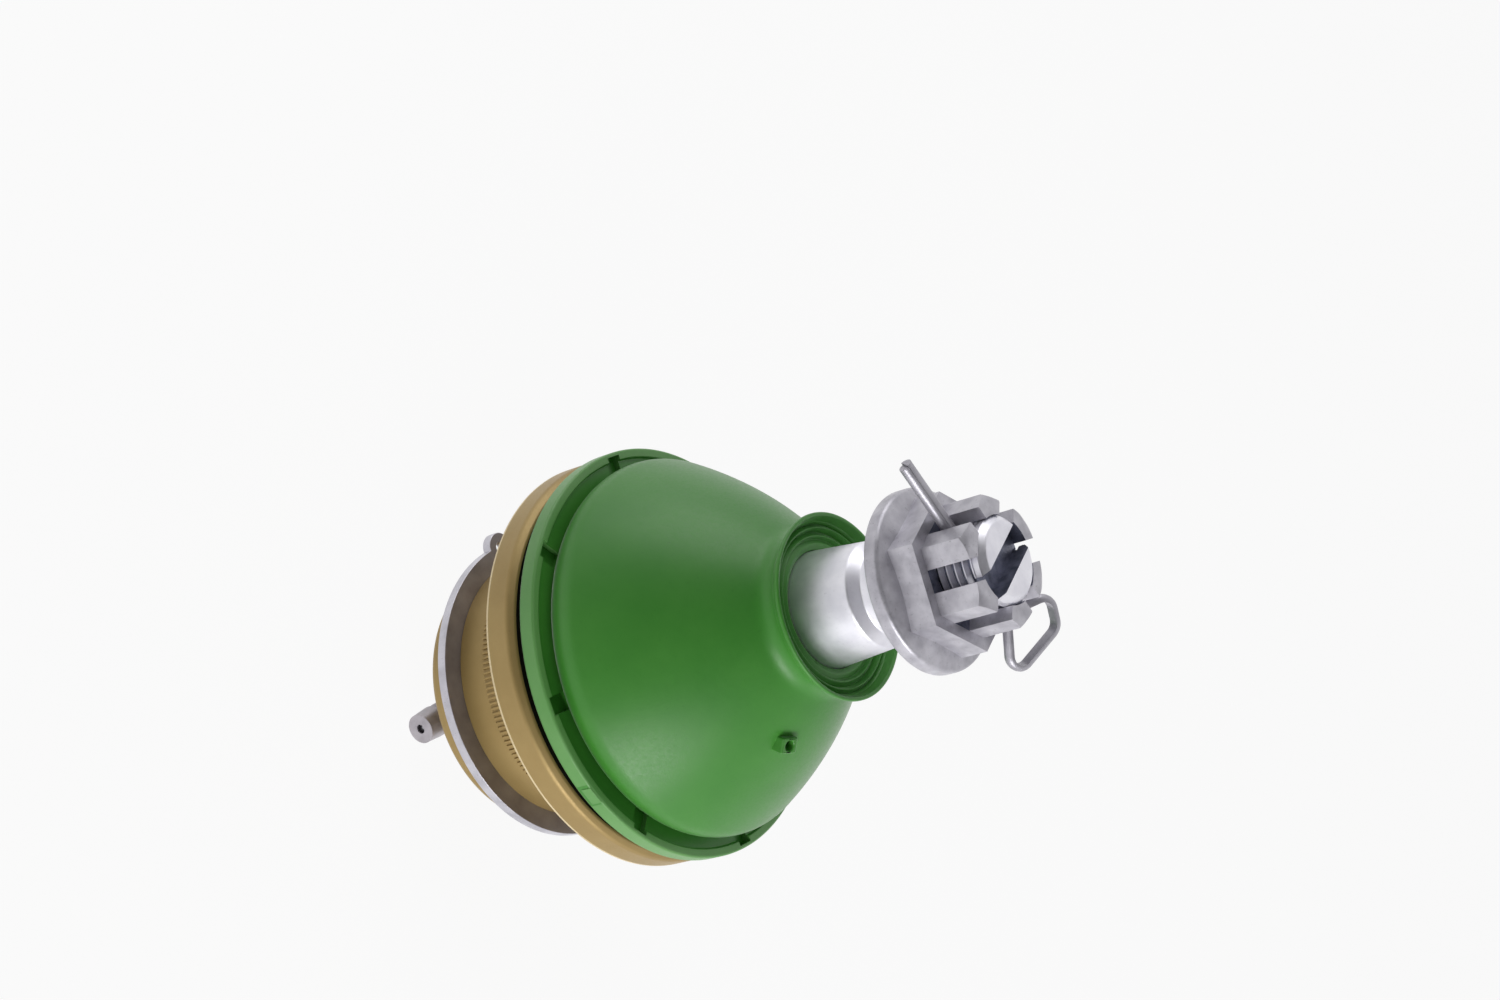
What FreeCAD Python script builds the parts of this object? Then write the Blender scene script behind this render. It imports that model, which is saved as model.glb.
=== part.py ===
import FreeCAD, Part
import math
import os
import re
import Sketcher

# Suspension ball joint, press-in type with a snap ring, a rubber dust boot and a castellated flange nut.
# Origin at the centre of the ball, +Z along the stud from the ball to the nut, -X along the grease nozzle.
# Lengths are millimetres, angles are degrees.

os.makedirs("parts", exist_ok=True)
doc = FreeCAD.newDocument("BallJoint")
Vector = FreeCAD.Vector

# Driving dimensions
SIZES = {
    # ball and stud
    "ball_radius": 13.0,
    "ball_flat_depth": 1.4,
    "neck_radius": 7.5,
    "neck_top": 20.0,
    "collar_bottom": 28.5,
    "taper_bottom": 37.0,
    "taper_top": 57.4,
    "taper_end_radius": 8.6,
    "taper_chamfer": 1.5,
    "thread_radius": 7.0,
    "thread_beyond_crown": 0.7,
    "thread_chamfer": 1.0,
    "driver_slot_width": 4.6,
    "driver_slot_depth": 2.9,
    "stud_turn_angle": 21.5,
    # clearances
    "ball_clearance": 0.05,
    "seat_clearance": 0.05,
    "bore_clearance": 0.05,
    "seal_clearance": 0.3,
    "face_gap": 0.05,
    "tilt_clearance": 0.4,
    # swivel range of the stud, kept as tangent of the largest combined tilt
    "tilt_slope": 0.473,
    "tilt_cosine": 0.904,
    # bearing shells
    "liner_wall": 1.6,
    "liner_top_inset": 0.87,
    "liner_bottom_inset": 4.0,
    "bearing_split": 0.35,
    "upper_bearing_lip": 1.53,
    "lower_bearing_mouth_depth": 2.7,
    "lower_bearing_lip": 1.2,
    "bearing_edge": 1.0,
    # housing
    "housing_bore": 18.0,
    "body_radius": 22.1,
    "flange_radius": 33.8,
    "flange_top": 10.2,
    "flange_thickness": 5.5,
    "flange_top_chamfer": 1.0,
    "flange_bottom_chamfer": 0.4,
    "knurl_height": 0.35,
    "knurl_length": 12.8,
    "flange_step": 7.8,
    "flange_collar_height": 4.3,
    "crimp_lip": 1.6,
    "crimp_thickness": 1.5,
    "end_rounding": 1.3,
    "groove_depth": 1.4,
    "arm_thickness": 17.95,
    # cover plate and preload spring
    "cover_thickness": 3.0,
    "cover_dish_radius": 6.0,
    "cover_dish_depth": 0.7,
    "spring_inner_radius": 9.0,
    "spring_rim_gap": 1.35,
    "spring_wall": 0.8,
    "spring_space": 2.8,
    # snap ring
    "ring_thickness": 1.75,
    "ring_width": 4.7,
    "ring_gap": 5.0,
    "ring_lug_radius": 2.6,
    "ring_lug_hole": 1.1,
    "ring_lug_offset": 4.9,
    "ring_lug_rise": 3.9,
    "ring_turn_angle": -13.0,
    "groove_clearance": 0.1,
    # dust boot
    "boot_rim_gap": 2.3,
    "boot_rim_wall": 3.2,
    "boot_rim_height": 2.9,
    "boot_ledge_width": 1.55,
    "boot_groove_width": 3.45,
    "boot_groove_depth": 0.6,
    "boot_waist_inset": 3.4,
    "boot_waist_rise": 8.5,
    "boot_base_bulge": 4.6,
    "boot_dome_bulge": 80.0,
    "boot_neck_radius": 14.3,
    "boot_neck_drop": 5.6,
    "boot_neck_curve": 3.5,
    "boot_lip_radius": 15.2,
    "boot_lip_height": 48.8,
    "boot_lip_edge": 0.5,
    "boot_wall": 1.8,
    "boot_funnel_width": 2.4,
    "boot_funnel_drop": 0.7,
    "boot_ridge_width": 1.1,
    "boot_ridge_height": 0.4,
    "boot_shank_clearance": 0.1,
    "boot_notches": 8.0,
    "boot_notch_depth": 0.9,
    "boot_notch_drop": 0.5,
    "boot_notch_angle": 5.2,
    "boot_turn_angle": 40.2,
    "vent_place": 0.69,
    "vent_turn_angle": 197.8,
    "vent_lean_angle": 38.0,
    "vent_length": 3.3,
    "vent_width": 2.6,
    "vent_height": 2.7,
    "vent_hole_radius": 0.75,
    # steel rings of the boot
    "base_ring_wall": 1.15,
    "base_ring_height": 6.0,
    "base_ring_flange_width": 3.8,
    "base_ring_flange_wall": 0.9,
    "neck_ring_wall": 1.7,
    "neck_ring_drop": 6.2,
    "neck_ring_height": 3.6,
    # castellated flange nut
    "nut_standoff": 8.3,
    "nut_flange_radius": 14.6,
    "nut_flange_rim": 2.5,
    "nut_flange_rise": 1.1,
    "nut_flange_rise_radius": 10.9,
    "nut_width": 22.0,
    "nut_hex_height": 7.8,
    "crown_width": 18.2,
    "crown_height": 8.0,
    "crown_top_radius": 9.4,
    "crown_chamfer_height": 1.6,
    "crown_slot_width": 3.6,
    "crown_slots": 3.0,
    "nut_countersink": 0.8,
    # cotter pin
    "cotter_radius": 1.1,
    "cotter_seat": 2.4,
    "cotter_leg_length": 11.7,
    "cotter_leg_step": 0.4,
    "cotter_eye_gap": 0.6,
    "cotter_eye_length": 8.1,
    "cotter_eye_shoulder": 2.3,
    "cotter_eye_long_side": 6.8,
    "cotter_eye_short_side": 3.8,
    "cotter_eye_slant": 1.2,
    "cotter_eye_bend": 1.8,
    "cotter_roll_angle": 35.0,
    # grease fitting
    "fitting_rim_gap": 0.35,
    "fitting_place_y": 2.65,
    "fitting_thread_radius": 3.0,
    "fitting_hex_width": 9.0,
    "fitting_hex_height": 3.4,
    "fitting_body_radius": 4.1,
    "nozzle_drop": 6.7,
    "nozzle_arm_radius": 2.6,
    "nozzle_reach": 10.2,
    "nozzle_head_length": 4.2,
    "nozzle_head_radius": 2.7,
    "nozzle_neck_radius": 2.0,
    "nozzle_neck_length": 1.0,
    "nozzle_face_radius": 2.5,
    "nozzle_bore": 1.2,
    "nozzle_bore_depth": 6.0,
    "nozzle_mouth": 0.8,
    "nozzle_lip": 0.5,
    "check_ball_clearance": 0.1,
    "check_spring_wire": 0.2,
    "check_spring_turns": 4.0,
}

sheet = doc.addObject("Spreadsheet::Sheet", "Sizes")
for row, (alias, value) in enumerate(SIZES.items(), start=1):
    sheet.set(f"A{row}", alias.replace("_", " "))
    sheet.set(f"B{row}", str(value))
    sheet.setAlias(f"B{row}", alias)
doc.recompute()

WORD = re.compile(r"[a-z]+(?:_[a-z]+)*")


def bound(formula):
    """The formula as an expression that reads its sizes from the sheet."""
    return WORD.sub(lambda found: "Sizes." + found[0] if found[0] in SIZES else found[0], formula)


def number(formula):
    """The formula's present value, used to draw a sketch before its constraints hold it."""
    text = WORD.sub(lambda found: f"({getattr(sheet, found[0])})" if found[0] in SIZES else found[0], formula)
    return FreeCAD.Units.parseQuantity(text).Value


def origin_plane(body, role):
    return next(item for item in body.Origin.OriginFeatures if item.Role == role)


def new_body(label):
    body = doc.addObject("PartDesign::Body", label)
    body.Label = label
    return body


def new_sketch(body, name, plane="XZ_Plane", offset="0"):
    sketch = body.newObject("Sketcher::SketchObject", name)
    sketch.AttachmentSupport = [(origin_plane(body, plane), "")]
    sketch.MapMode = "FlatFace"
    sketch.setExpression("AttachmentOffset.Base.z", bound(offset))
    return sketch


def pin_point(sketch, curve, end, x, y):
    """Hold one end of a curve at a place given by two formulas."""
    for kind, formula in (("DistanceX", x), ("DistanceY", y)):
        place = sketch.addConstraint(Sketcher.Constraint(kind, -1, 1, curve, end, number(formula)))
        sketch.setExpression(f"Constraints[{place}]", bound(formula))


def arc_between(start, end, radius):
    """Counter-clockwise arc from start to end, less than half a turn."""
    chord = end - start
    outward = Vector(chord.y, -chord.x, 0).normalize()
    sagitta = radius - math.sqrt(radius**2 - chord.Length**2 / 4)
    return Part.Arc(start, (start + end) / 2 + outward * sagitta, end)


def outline(sketch, corners):
    """A closed outline. A corner is (x, y), or (x, y, radius, turn) when an arc leads on from it.

    The arc runs counter-clockwise where turn is 1 and clockwise where it is -1.
    """
    points = [Vector(number(corner[0]), number(corner[1]), 0) for corner in corners]
    for index, corner in enumerate(corners):
        start = points[index]
        end = points[(index + 1) % len(corners)]
        if len(corner) == 2:
            curve = sketch.addGeometry(Part.LineSegment(start, end))
            first, last = 1, 2
        else:
            first, last = (1, 2) if corner[3] == 1 else (2, 1)
            ends = (start, end) if corner[3] == 1 else (end, start)
            curve = sketch.addGeometry(arc_between(*ends, number(corner[2])))
            place = sketch.addConstraint(Sketcher.Constraint("Radius", curve, number(corner[2])))
            sketch.setExpression(f"Constraints[{place}]", bound(corner[2]))
        following = corners[(index + 1) % len(corners)]
        pin_point(sketch, curve, first, corner[0], corner[1])
        pin_point(sketch, curve, last, following[0], following[1])


def circle(sketch, x, y, radius):
    centre = Vector(number(x), number(y), 0)
    curve = sketch.addGeometry(Part.Circle(centre, Vector(0, 0, 1), number(radius)))
    pin_point(sketch, curve, 3, x, y)
    place = sketch.addConstraint(Sketcher.Constraint("Radius", curve, number(radius)))
    sketch.setExpression(f"Constraints[{place}]", bound(radius))


def box_outline(sketch, left, right, low, high):
    outline(sketch, [(left, low), (right, low), (right, high), (left, high)])


def hexagon(sketch, width):
    """Hexagon of the given width across flats, with two corners on the sketch's X axis."""
    far = f"({width}) / sqrt(3)"
    near = f"({width}) / sqrt(12)"
    half = f"({width}) / 2"
    right = [(near, "-" + half), (far, "0"), (near, half)]
    left = [("-" + near, half), ("-" + far, "0"), ("-" + near, "-" + half)]
    outline(sketch, right + left)


def turned(body, sketch, name="Turned", kind="PartDesign::Revolution", axis="V_Axis"):
    """Revolve a half outline about an axis of its sketch, to add or to cut."""
    feature = body.newObject(kind, name)
    feature.Profile = sketch
    feature.ReferenceAxis = (sketch, [axis])
    feature.Angle = 360
    return feature


def padded(body, sketch, name, length):
    feature = body.newObject("PartDesign::Pad", name)
    feature.Profile = sketch
    feature.setExpression("Length", bound(length))
    return feature


def cut_through(body, sketch, name):
    """Cut the outline through the whole body, both ways from its sketch."""
    feature = body.newObject("PartDesign::Pocket", name)
    feature.Profile = sketch
    feature.Type = "ThroughAll"
    feature.Midplane = True
    return feature


def repeated(body, feature, name, axis, count):
    """Copies of a cut about an axis of a sketch. The angle from first to last is set by the caller."""
    pattern = body.newObject("PartDesign::PolarPattern", name)
    pattern.Originals = [feature]
    pattern.Axis = axis
    pattern.setExpression("Occurrences", bound(count))
    body.Tip = pattern
    return pattern


def turn_about_z(body, angle):
    body.Placement = FreeCAD.Placement(Vector(), FreeCAD.Rotation(Vector(0, 0, 1), 1))
    body.setExpression("Placement.Rotation.Angle", bound(angle))


# Formulas that several pieces share
LINER_INNER = "(ball_radius + ball_clearance)"
LINER_OUTER = f"({LINER_INNER} + liner_wall)"
SEAT_RADIUS = f"({LINER_OUTER} + seat_clearance)"
BALL_FLAT = "(ball_radius - ball_flat_depth)"
LOWER_MOUTH = f"({SEAT_RADIUS} - lower_bearing_mouth_depth)"
LOWER_BEARING_BOTTOM = f"({LOWER_MOUTH} + lower_bearing_lip)"
TILT_FOOT = "(neck_radius / tilt_cosine + tilt_clearance)"
FLANGE_BOTTOM = "(flange_top - flange_thickness)"
COLLAR_RADIUS = "(flange_radius - flange_step)"
COLLAR_TOP = "(flange_top + flange_collar_height)"
GROOVE_RADIUS = "(body_radius - groove_depth)"
GROOVE_TOP = f"({FLANGE_BOTTOM} - arm_thickness)"
RING_BOTTOM = f"({GROOVE_TOP} - ring_thickness)"
COVER_TOP = f"(-{LOWER_BEARING_BOTTOM} - spring_space)"
COVER_BOTTOM = f"({COVER_TOP} - cover_thickness)"
NOZZLE_HEIGHT = f"({COVER_BOTTOM} - nozzle_drop)"
HOUSING_BOTTOM = f"({COVER_BOTTOM} - crimp_thickness)"
BEARING_RADIUS = "(housing_bore - bore_clearance)"
CRIMP_RADIUS = "(housing_bore - crimp_lip)"
BASE_RING_INNER = f"({COLLAR_RADIUS} + bore_clearance)"
BASE_RING_OUTER = f"({BASE_RING_INNER} + base_ring_wall)"
BASE_RING_TOP = "(flange_top + base_ring_height)"
BASE_FLANGE_RADIUS = f"({BASE_RING_OUTER} + base_ring_flange_width)"
BOOT_BOTTOM = "(flange_top + boot_rim_gap)"
BOOT_RIM = f"({BASE_FLANGE_RADIUS} + boot_rim_wall)"
NECK_RING_BOTTOM = "(boot_lip_height - neck_ring_drop)"
NUT_BOTTOM = "(taper_top + nut_standoff)"
NUT_SHOULDER = f"({NUT_BOTTOM} + nut_hex_height)"
CROWN_TOP = f"({NUT_SHOULDER} + crown_height)"
COTTER_HEIGHT = f"({NUT_SHOULDER} + cotter_seat)"
THREAD_END = f"({CROWN_TOP} + thread_beyond_crown)"
# The stud's taper is one in six on the diameter, and so one in twelve on the radius
TAPER_RATE = "12"
# Height where the cone that the leaning stud needs leaves the spherical seat
SEAT_EDGE = (
    f"((sqrt({SEAT_RADIUS} ^ 2 * (1 + tilt_slope ^ 2) - {TILT_FOOT} ^ 2) - tilt_slope * {TILT_FOOT})"
    " / (1 + tilt_slope ^ 2))"
)
UPPER_BEARING_TOP = f"({SEAT_EDGE} + upper_bearing_lip)"
LINER_TOP = f"({SEAT_EDGE} - liner_top_inset)"
LINER_BOTTOM = f"({LOWER_MOUTH} - liner_bottom_inset)"
# Steps of the boot's lip down to the shank
RIDGES = 3
# Outward directions of the boot's wall at its neck and at its waist, as parts of the wall in X and Z
NECK_LEAN = ("0.7", "0.7")
WAIST_LEAN = ("0.86", "0.51")


def on_sphere(radius, height):
    """Distance from the Z axis of a sphere about the origin, at a height."""
    return f"sqrt({radius} ^ 2 - ({height}) ^ 2)"


def taper_radius(height):
    """Radius of the stud's one-in-six taper at a height."""
    return f"(taper_end_radius + (taper_top - {height}) / {TAPER_RATE})"


NECK_RING_INNER = f"({taper_radius(NECK_RING_BOTTOM)} + seal_clearance)"
FITTING_X = f"(fitting_hex_width / sqrt(3) + fitting_rim_gap - {on_sphere(CRIMP_RADIUS, 'fitting_place_y')})"


def make_housing():
    body = new_body("housing")
    sketch = new_sketch(body, "HousingProfile")
    shelf = f"{UPPER_BEARING_TOP} + face_gap"
    mouth_inner = f"{TILT_FOOT} + tilt_slope * ({shelf})"
    mouth_outer = f"{TILT_FOOT} + tilt_slope * {COLLAR_TOP}"
    knurl_bottom = f"{FLANGE_BOTTOM} - knurl_length"
    outline(
        sketch,
        [
            (mouth_inner, shelf),
            ("housing_bore", shelf),
            ("housing_bore", COVER_BOTTOM),
            (CRIMP_RADIUS, COVER_BOTTOM),
            (CRIMP_RADIUS, HOUSING_BOTTOM),
            ("body_radius - end_rounding", HOUSING_BOTTOM, "end_rounding", 1),
            ("body_radius", f"{HOUSING_BOTTOM} + end_rounding"),
            ("body_radius", f"{RING_BOTTOM} - groove_clearance"),
            (GROOVE_RADIUS, f"{RING_BOTTOM} - groove_clearance"),
            (GROOVE_RADIUS, GROOVE_TOP),
            ("body_radius", GROOVE_TOP),
            ("body_radius", knurl_bottom),
            ("body_radius + knurl_height", knurl_bottom),
            ("body_radius + knurl_height", FLANGE_BOTTOM),
            ("flange_radius - flange_bottom_chamfer", FLANGE_BOTTOM),
            ("flange_radius", f"{FLANGE_BOTTOM} + flange_bottom_chamfer"),
            ("flange_radius", "flange_top - flange_top_chamfer"),
            ("flange_radius - flange_top_chamfer", "flange_top"),
            (COLLAR_RADIUS, "flange_top"),
            (COLLAR_RADIUS, COLLAR_TOP),
            (mouth_outer, COLLAR_TOP),
        ],
    )
    turned(body, sketch)


def make_cover_plate():
    body = new_body("cover_plate")
    sketch = new_sketch(body, "CoverProfile")
    outline(
        sketch,
        [
            ("0", f"{COVER_TOP} - cover_dish_depth"),
            ("cover_dish_radius", f"{COVER_TOP} - cover_dish_depth"),
            ("cover_dish_radius + cover_dish_depth", COVER_TOP),
            (BEARING_RADIUS, COVER_TOP),
            (BEARING_RADIUS, COVER_BOTTOM),
            ("0", COVER_BOTTOM),
        ],
    )
    turned(body, sketch)
    hole = new_sketch(body, "FittingHole", "XY_Plane")
    circle(hole, FITTING_X, "fitting_place_y", "fitting_thread_radius + bore_clearance")
    cut_through(body, hole, "FittingBore")


def make_upper_bearing():
    body = new_body("upper_bearing")
    sketch = new_sketch(body, "UpperBearingProfile")
    outline(
        sketch,
        [
            (on_sphere(SEAT_RADIUS, "bearing_split"), "bearing_split"),
            (BEARING_RADIUS, "bearing_split"),
            (BEARING_RADIUS, UPPER_BEARING_TOP),
            (f"{TILT_FOOT} + tilt_slope * {UPPER_BEARING_TOP}", UPPER_BEARING_TOP),
            (on_sphere(SEAT_RADIUS, SEAT_EDGE), SEAT_EDGE, SEAT_RADIUS, -1),
        ],
    )
    turned(body, sketch)


def make_lower_bearing():
    body = new_body("lower_bearing")
    sketch = new_sketch(body, "LowerBearingProfile")
    outline(
        sketch,
        [
            (on_sphere(SEAT_RADIUS, LOWER_MOUTH), f"-{LOWER_MOUTH}", SEAT_RADIUS, 1),
            (on_sphere(SEAT_RADIUS, "bearing_split"), "-bearing_split"),
            (BEARING_RADIUS, "-bearing_split"),
            (BEARING_RADIUS, f"-{LOWER_BEARING_BOTTOM} + bearing_edge"),
            (f"{BEARING_RADIUS} - bearing_edge", f"-{LOWER_BEARING_BOTTOM}"),
            (on_sphere(SEAT_RADIUS, LOWER_MOUTH), f"-{LOWER_BEARING_BOTTOM}"),
        ],
    )
    turned(body, sketch)


def make_ball_liner():
    body = new_body("ball_liner")
    sketch = new_sketch(body, "LinerProfile")
    outline(
        sketch,
        [
            (on_sphere(LINER_INNER, LINER_BOTTOM), f"-{LINER_BOTTOM}", LINER_INNER, 1),
            (on_sphere(LINER_INNER, LINER_TOP), LINER_TOP),
            (on_sphere(LINER_OUTER, LINER_TOP), LINER_TOP, LINER_OUTER, -1),
            (on_sphere(LINER_OUTER, LINER_BOTTOM), f"-{LINER_BOTTOM}"),
        ],
    )
    turned(body, sketch)


def make_belleville_spring():
    body = new_body("belleville_spring")
    sketch = new_sketch(body, "SpringProfile")
    high = f"-{LOWER_BEARING_BOTTOM} - face_gap"
    low = f"{COVER_TOP} + face_gap"
    outer = f"{BEARING_RADIUS} - spring_rim_gap"
    outline(
        sketch,
        [
            ("spring_inner_radius", f"{high} - spring_wall"),
            (outer, low),
            (outer, f"{low} + spring_wall"),
            ("spring_inner_radius", high),
        ],
    )
    turned(body, sketch)


def make_ball_stud():
    body = new_body("ball_stud")
    sketch = new_sketch(body, "StudProfile")
    shoulder = "taper_top + taper_chamfer"
    outline(
        sketch,
        [
            ("0", f"-{BALL_FLAT}"),
            (on_sphere("ball_radius", BALL_FLAT), f"-{BALL_FLAT}", "ball_radius", 1),
            ("neck_radius", on_sphere("ball_radius", "neck_radius")),
            ("neck_radius", "neck_top"),
            (taper_radius("taper_bottom"), "collar_bottom"),
            (taper_radius("taper_bottom"), "taper_bottom"),
            ("taper_end_radius", "taper_top"),
            ("thread_radius", shoulder),
            ("thread_radius", f"{THREAD_END} - thread_chamfer"),
            ("thread_radius - thread_chamfer", THREAD_END),
            ("0", THREAD_END),
        ],
    )
    turned(body, sketch)
    hole = new_sketch(body, "CotterHoleProfile")
    circle(hole, "0", COTTER_HEIGHT, "cotter_radius + seal_clearance")
    cut_through(body, hole, "CotterHole")
    slot = new_sketch(body, "DriverSlotProfile", "YZ_Plane")
    box_outline(
        slot,
        "-driver_slot_width / 2",
        "driver_slot_width / 2",
        f"{THREAD_END} - driver_slot_depth",
        f"{THREAD_END} + driver_slot_depth",
    )
    cut_through(body, slot, "DriverSlot")
    turn_about_z(body, "stud_turn_angle")


def make_castle_nut():
    body = new_body("castle_nut")
    base = new_sketch(body, "NutHexagon", "XY_Plane", NUT_BOTTOM)
    hexagon(base, "nut_width")
    padded(body, base, "NutHex", "nut_hex_height")
    flange = new_sketch(body, "NutFlangeProfile")
    rim_top = f"{NUT_BOTTOM} + nut_flange_rim"
    outline(
        flange,
        [
            ("0", NUT_BOTTOM),
            ("nut_flange_radius", NUT_BOTTOM),
            ("nut_flange_radius", rim_top),
            ("nut_flange_rise_radius", f"{rim_top} + nut_flange_rise"),
            ("0", f"{rim_top} + nut_flange_rise"),
        ],
    )
    turned(body, flange, "NutFlange")
    crown = new_sketch(body, "CrownHexagon", "XY_Plane", NUT_SHOULDER)
    hexagon(crown, "crown_width")
    padded(body, crown, "Crown", "crown_height")
    corner = "(crown_width / sqrt(3) + face_gap)"
    chamfer = new_sketch(body, "CrownChamferProfile")
    outline(
        chamfer,
        [
            ("crown_top_radius", CROWN_TOP),
            (corner, f"{CROWN_TOP} - crown_chamfer_height"),
            (f"{corner} + crown_chamfer_height", f"{CROWN_TOP} - crown_chamfer_height"),
            (f"{corner} + crown_chamfer_height", f"{CROWN_TOP} + crown_chamfer_height"),
            ("crown_top_radius", f"{CROWN_TOP} + crown_chamfer_height"),
        ],
    )
    turned(body, chamfer, "CrownChamfer", "PartDesign::Groove")
    bore = new_sketch(body, "NutBoreProfile")
    bore_radius = "(thread_radius + bore_clearance)"
    outline(
        bore,
        [
            ("0", f"{NUT_BOTTOM} - nut_countersink"),
            (f"{bore_radius} + nut_countersink", f"{NUT_BOTTOM} - nut_countersink"),
            (f"{bore_radius} + nut_countersink", NUT_BOTTOM),
            (bore_radius, f"{NUT_BOTTOM} + nut_countersink"),
            (bore_radius, f"{CROWN_TOP} + nut_countersink"),
            ("0", f"{CROWN_TOP} + nut_countersink"),
        ],
    )
    turned(body, bore, "NutBore", "PartDesign::Groove")
    slot = new_sketch(body, "CrownSlotProfile")
    slot_top = f"{CROWN_TOP} + crown_chamfer_height"
    box_outline(slot, "-crown_slot_width / 2", "crown_slot_width / 2", NUT_SHOULDER, slot_top)
    first = cut_through(body, slot, "CrownSlot")
    slots = repeated(body, first, "CrownSlots", (base, ["N_Axis"]), "crown_slots")
    slots.setExpression("Angle", bound("180 * (crown_slots - 1) / crown_slots"))
    turn_about_z(body, "stud_turn_angle")


def rounded_path(points, radius):
    """Lines through the points, joined by tangent arcs that fit the runs beside them."""
    edges = []
    last = points[0]
    for before, corner, after in zip(points, points[1:], points[2:]):
        back = (before - corner).normalize()
        ahead = (after - corner).normalize()
        half_angle = back.getAngle(ahead) / 2
        room = 0.45 * min(before.distanceToPoint(corner), after.distanceToPoint(corner))
        reach = min(radius / math.tan(half_angle), room)
        arc_radius = reach * math.tan(half_angle)
        bisector = (back + ahead).normalize()
        middle = corner + bisector * (math.hypot(reach, arc_radius) - arc_radius)
        edges.append(Part.LineSegment(last, corner + back * reach))
        edges.append(Part.Arc(corner + back * reach, middle, corner + ahead * reach))
        last = corner + ahead * reach
    edges.append(Part.LineSegment(last, points[-1]))
    return edges


def make_cotter_pin():
    """Half-round wire folded into a lopsided eye on the -Y side, its flat sides meeting along the Y axis."""
    body = new_body("cotter_pin")
    split = number("face_gap") / 2
    start = -number("crown_width / 2 + cotter_eye_gap")
    leg_end = "(crown_width / 2 + cotter_leg_length)"
    bend = number("cotter_eye_bend")
    far = start - number("cotter_eye_length")
    long_side = number("cotter_eye_long_side")
    short_side = number("cotter_eye_short_side")
    corners = [
        (split, number(leg_end)),
        (split, start),
        (long_side, start - number("cotter_eye_shoulder")),
        (long_side - bend, far + number("cotter_eye_slant")),
        (bend / 2 - short_side, far),
        (-short_side, far + bend),
        (-split, start),
        (-split, number(f"{leg_end} - cotter_leg_step")),
    ]
    path = new_sketch(body, "CotterPath", "XY_Plane")
    for edge in rounded_path([Vector(x, y, 0) for x, y in corners], bend):
        path.addGeometry(edge)
    section = new_sketch(body, "CotterSection", "XZ_Plane", f"-{leg_end}")
    flat = "face_gap / 2"
    outline(
        section,
        [
            (flat, "-cotter_radius", "cotter_radius", 1),
            (flat + " + cotter_radius", "0", "cotter_radius", 1),
            (flat, "cotter_radius"),
        ],
    )
    pipe = body.newObject("PartDesign::AdditivePipe", "CotterWire")
    pipe.Profile = section
    pipe.Spine = path
    roll = FreeCAD.Rotation(Vector(0, -1, 0), number("cotter_roll_angle"))
    turn = FreeCAD.Rotation(Vector(0, 0, 1), number("stud_turn_angle"))
    body.Placement = FreeCAD.Placement(Vector(), turn * roll)
    body.setExpression("Placement.Base.z", bound(COTTER_HEIGHT))


def make_snap_ring():
    """External ring with two drilled lugs beside its gap, which lies on +Y before the ring is turned."""
    body = new_body("snap_ring")
    inner = f"{GROOVE_RADIUS} + face_gap"
    lug_reach = f"({GROOVE_RADIUS} + ring_lug_rise)"
    ring = new_sketch(body, "RingProfile", "XY_Plane", RING_BOTTOM)
    circle(ring, "0", "0", inner)
    circle(ring, "0", "0", f"{inner} + ring_width")
    padded(body, ring, "Ring", "ring_thickness")
    for side, sign in (("Left", "-"), ("Right", "")):
        lug = new_sketch(body, f"{side}LugProfile", "XY_Plane", RING_BOTTOM)
        circle(lug, f"{sign}ring_lug_offset", lug_reach, "ring_lug_radius")
        padded(body, lug, f"{side}Lug", "ring_thickness")
    for side, sign in (("Left", "-"), ("Right", "")):
        hole = new_sketch(body, f"{side}HoleProfile", "XY_Plane", RING_BOTTOM)
        circle(hole, f"{sign}ring_lug_offset", lug_reach, "ring_lug_hole")
        cut_through(body, hole, f"{side}Hole")
    gap = new_sketch(body, "GapProfile", "XY_Plane", RING_BOTTOM)
    box_outline(gap, "-ring_gap / 2", "ring_gap / 2", "ring_lug_offset", f"{lug_reach} + 2 * ring_lug_radius")
    cut_through(body, gap, "Gap")
    turn_about_z(body, "ring_turn_angle")


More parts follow.
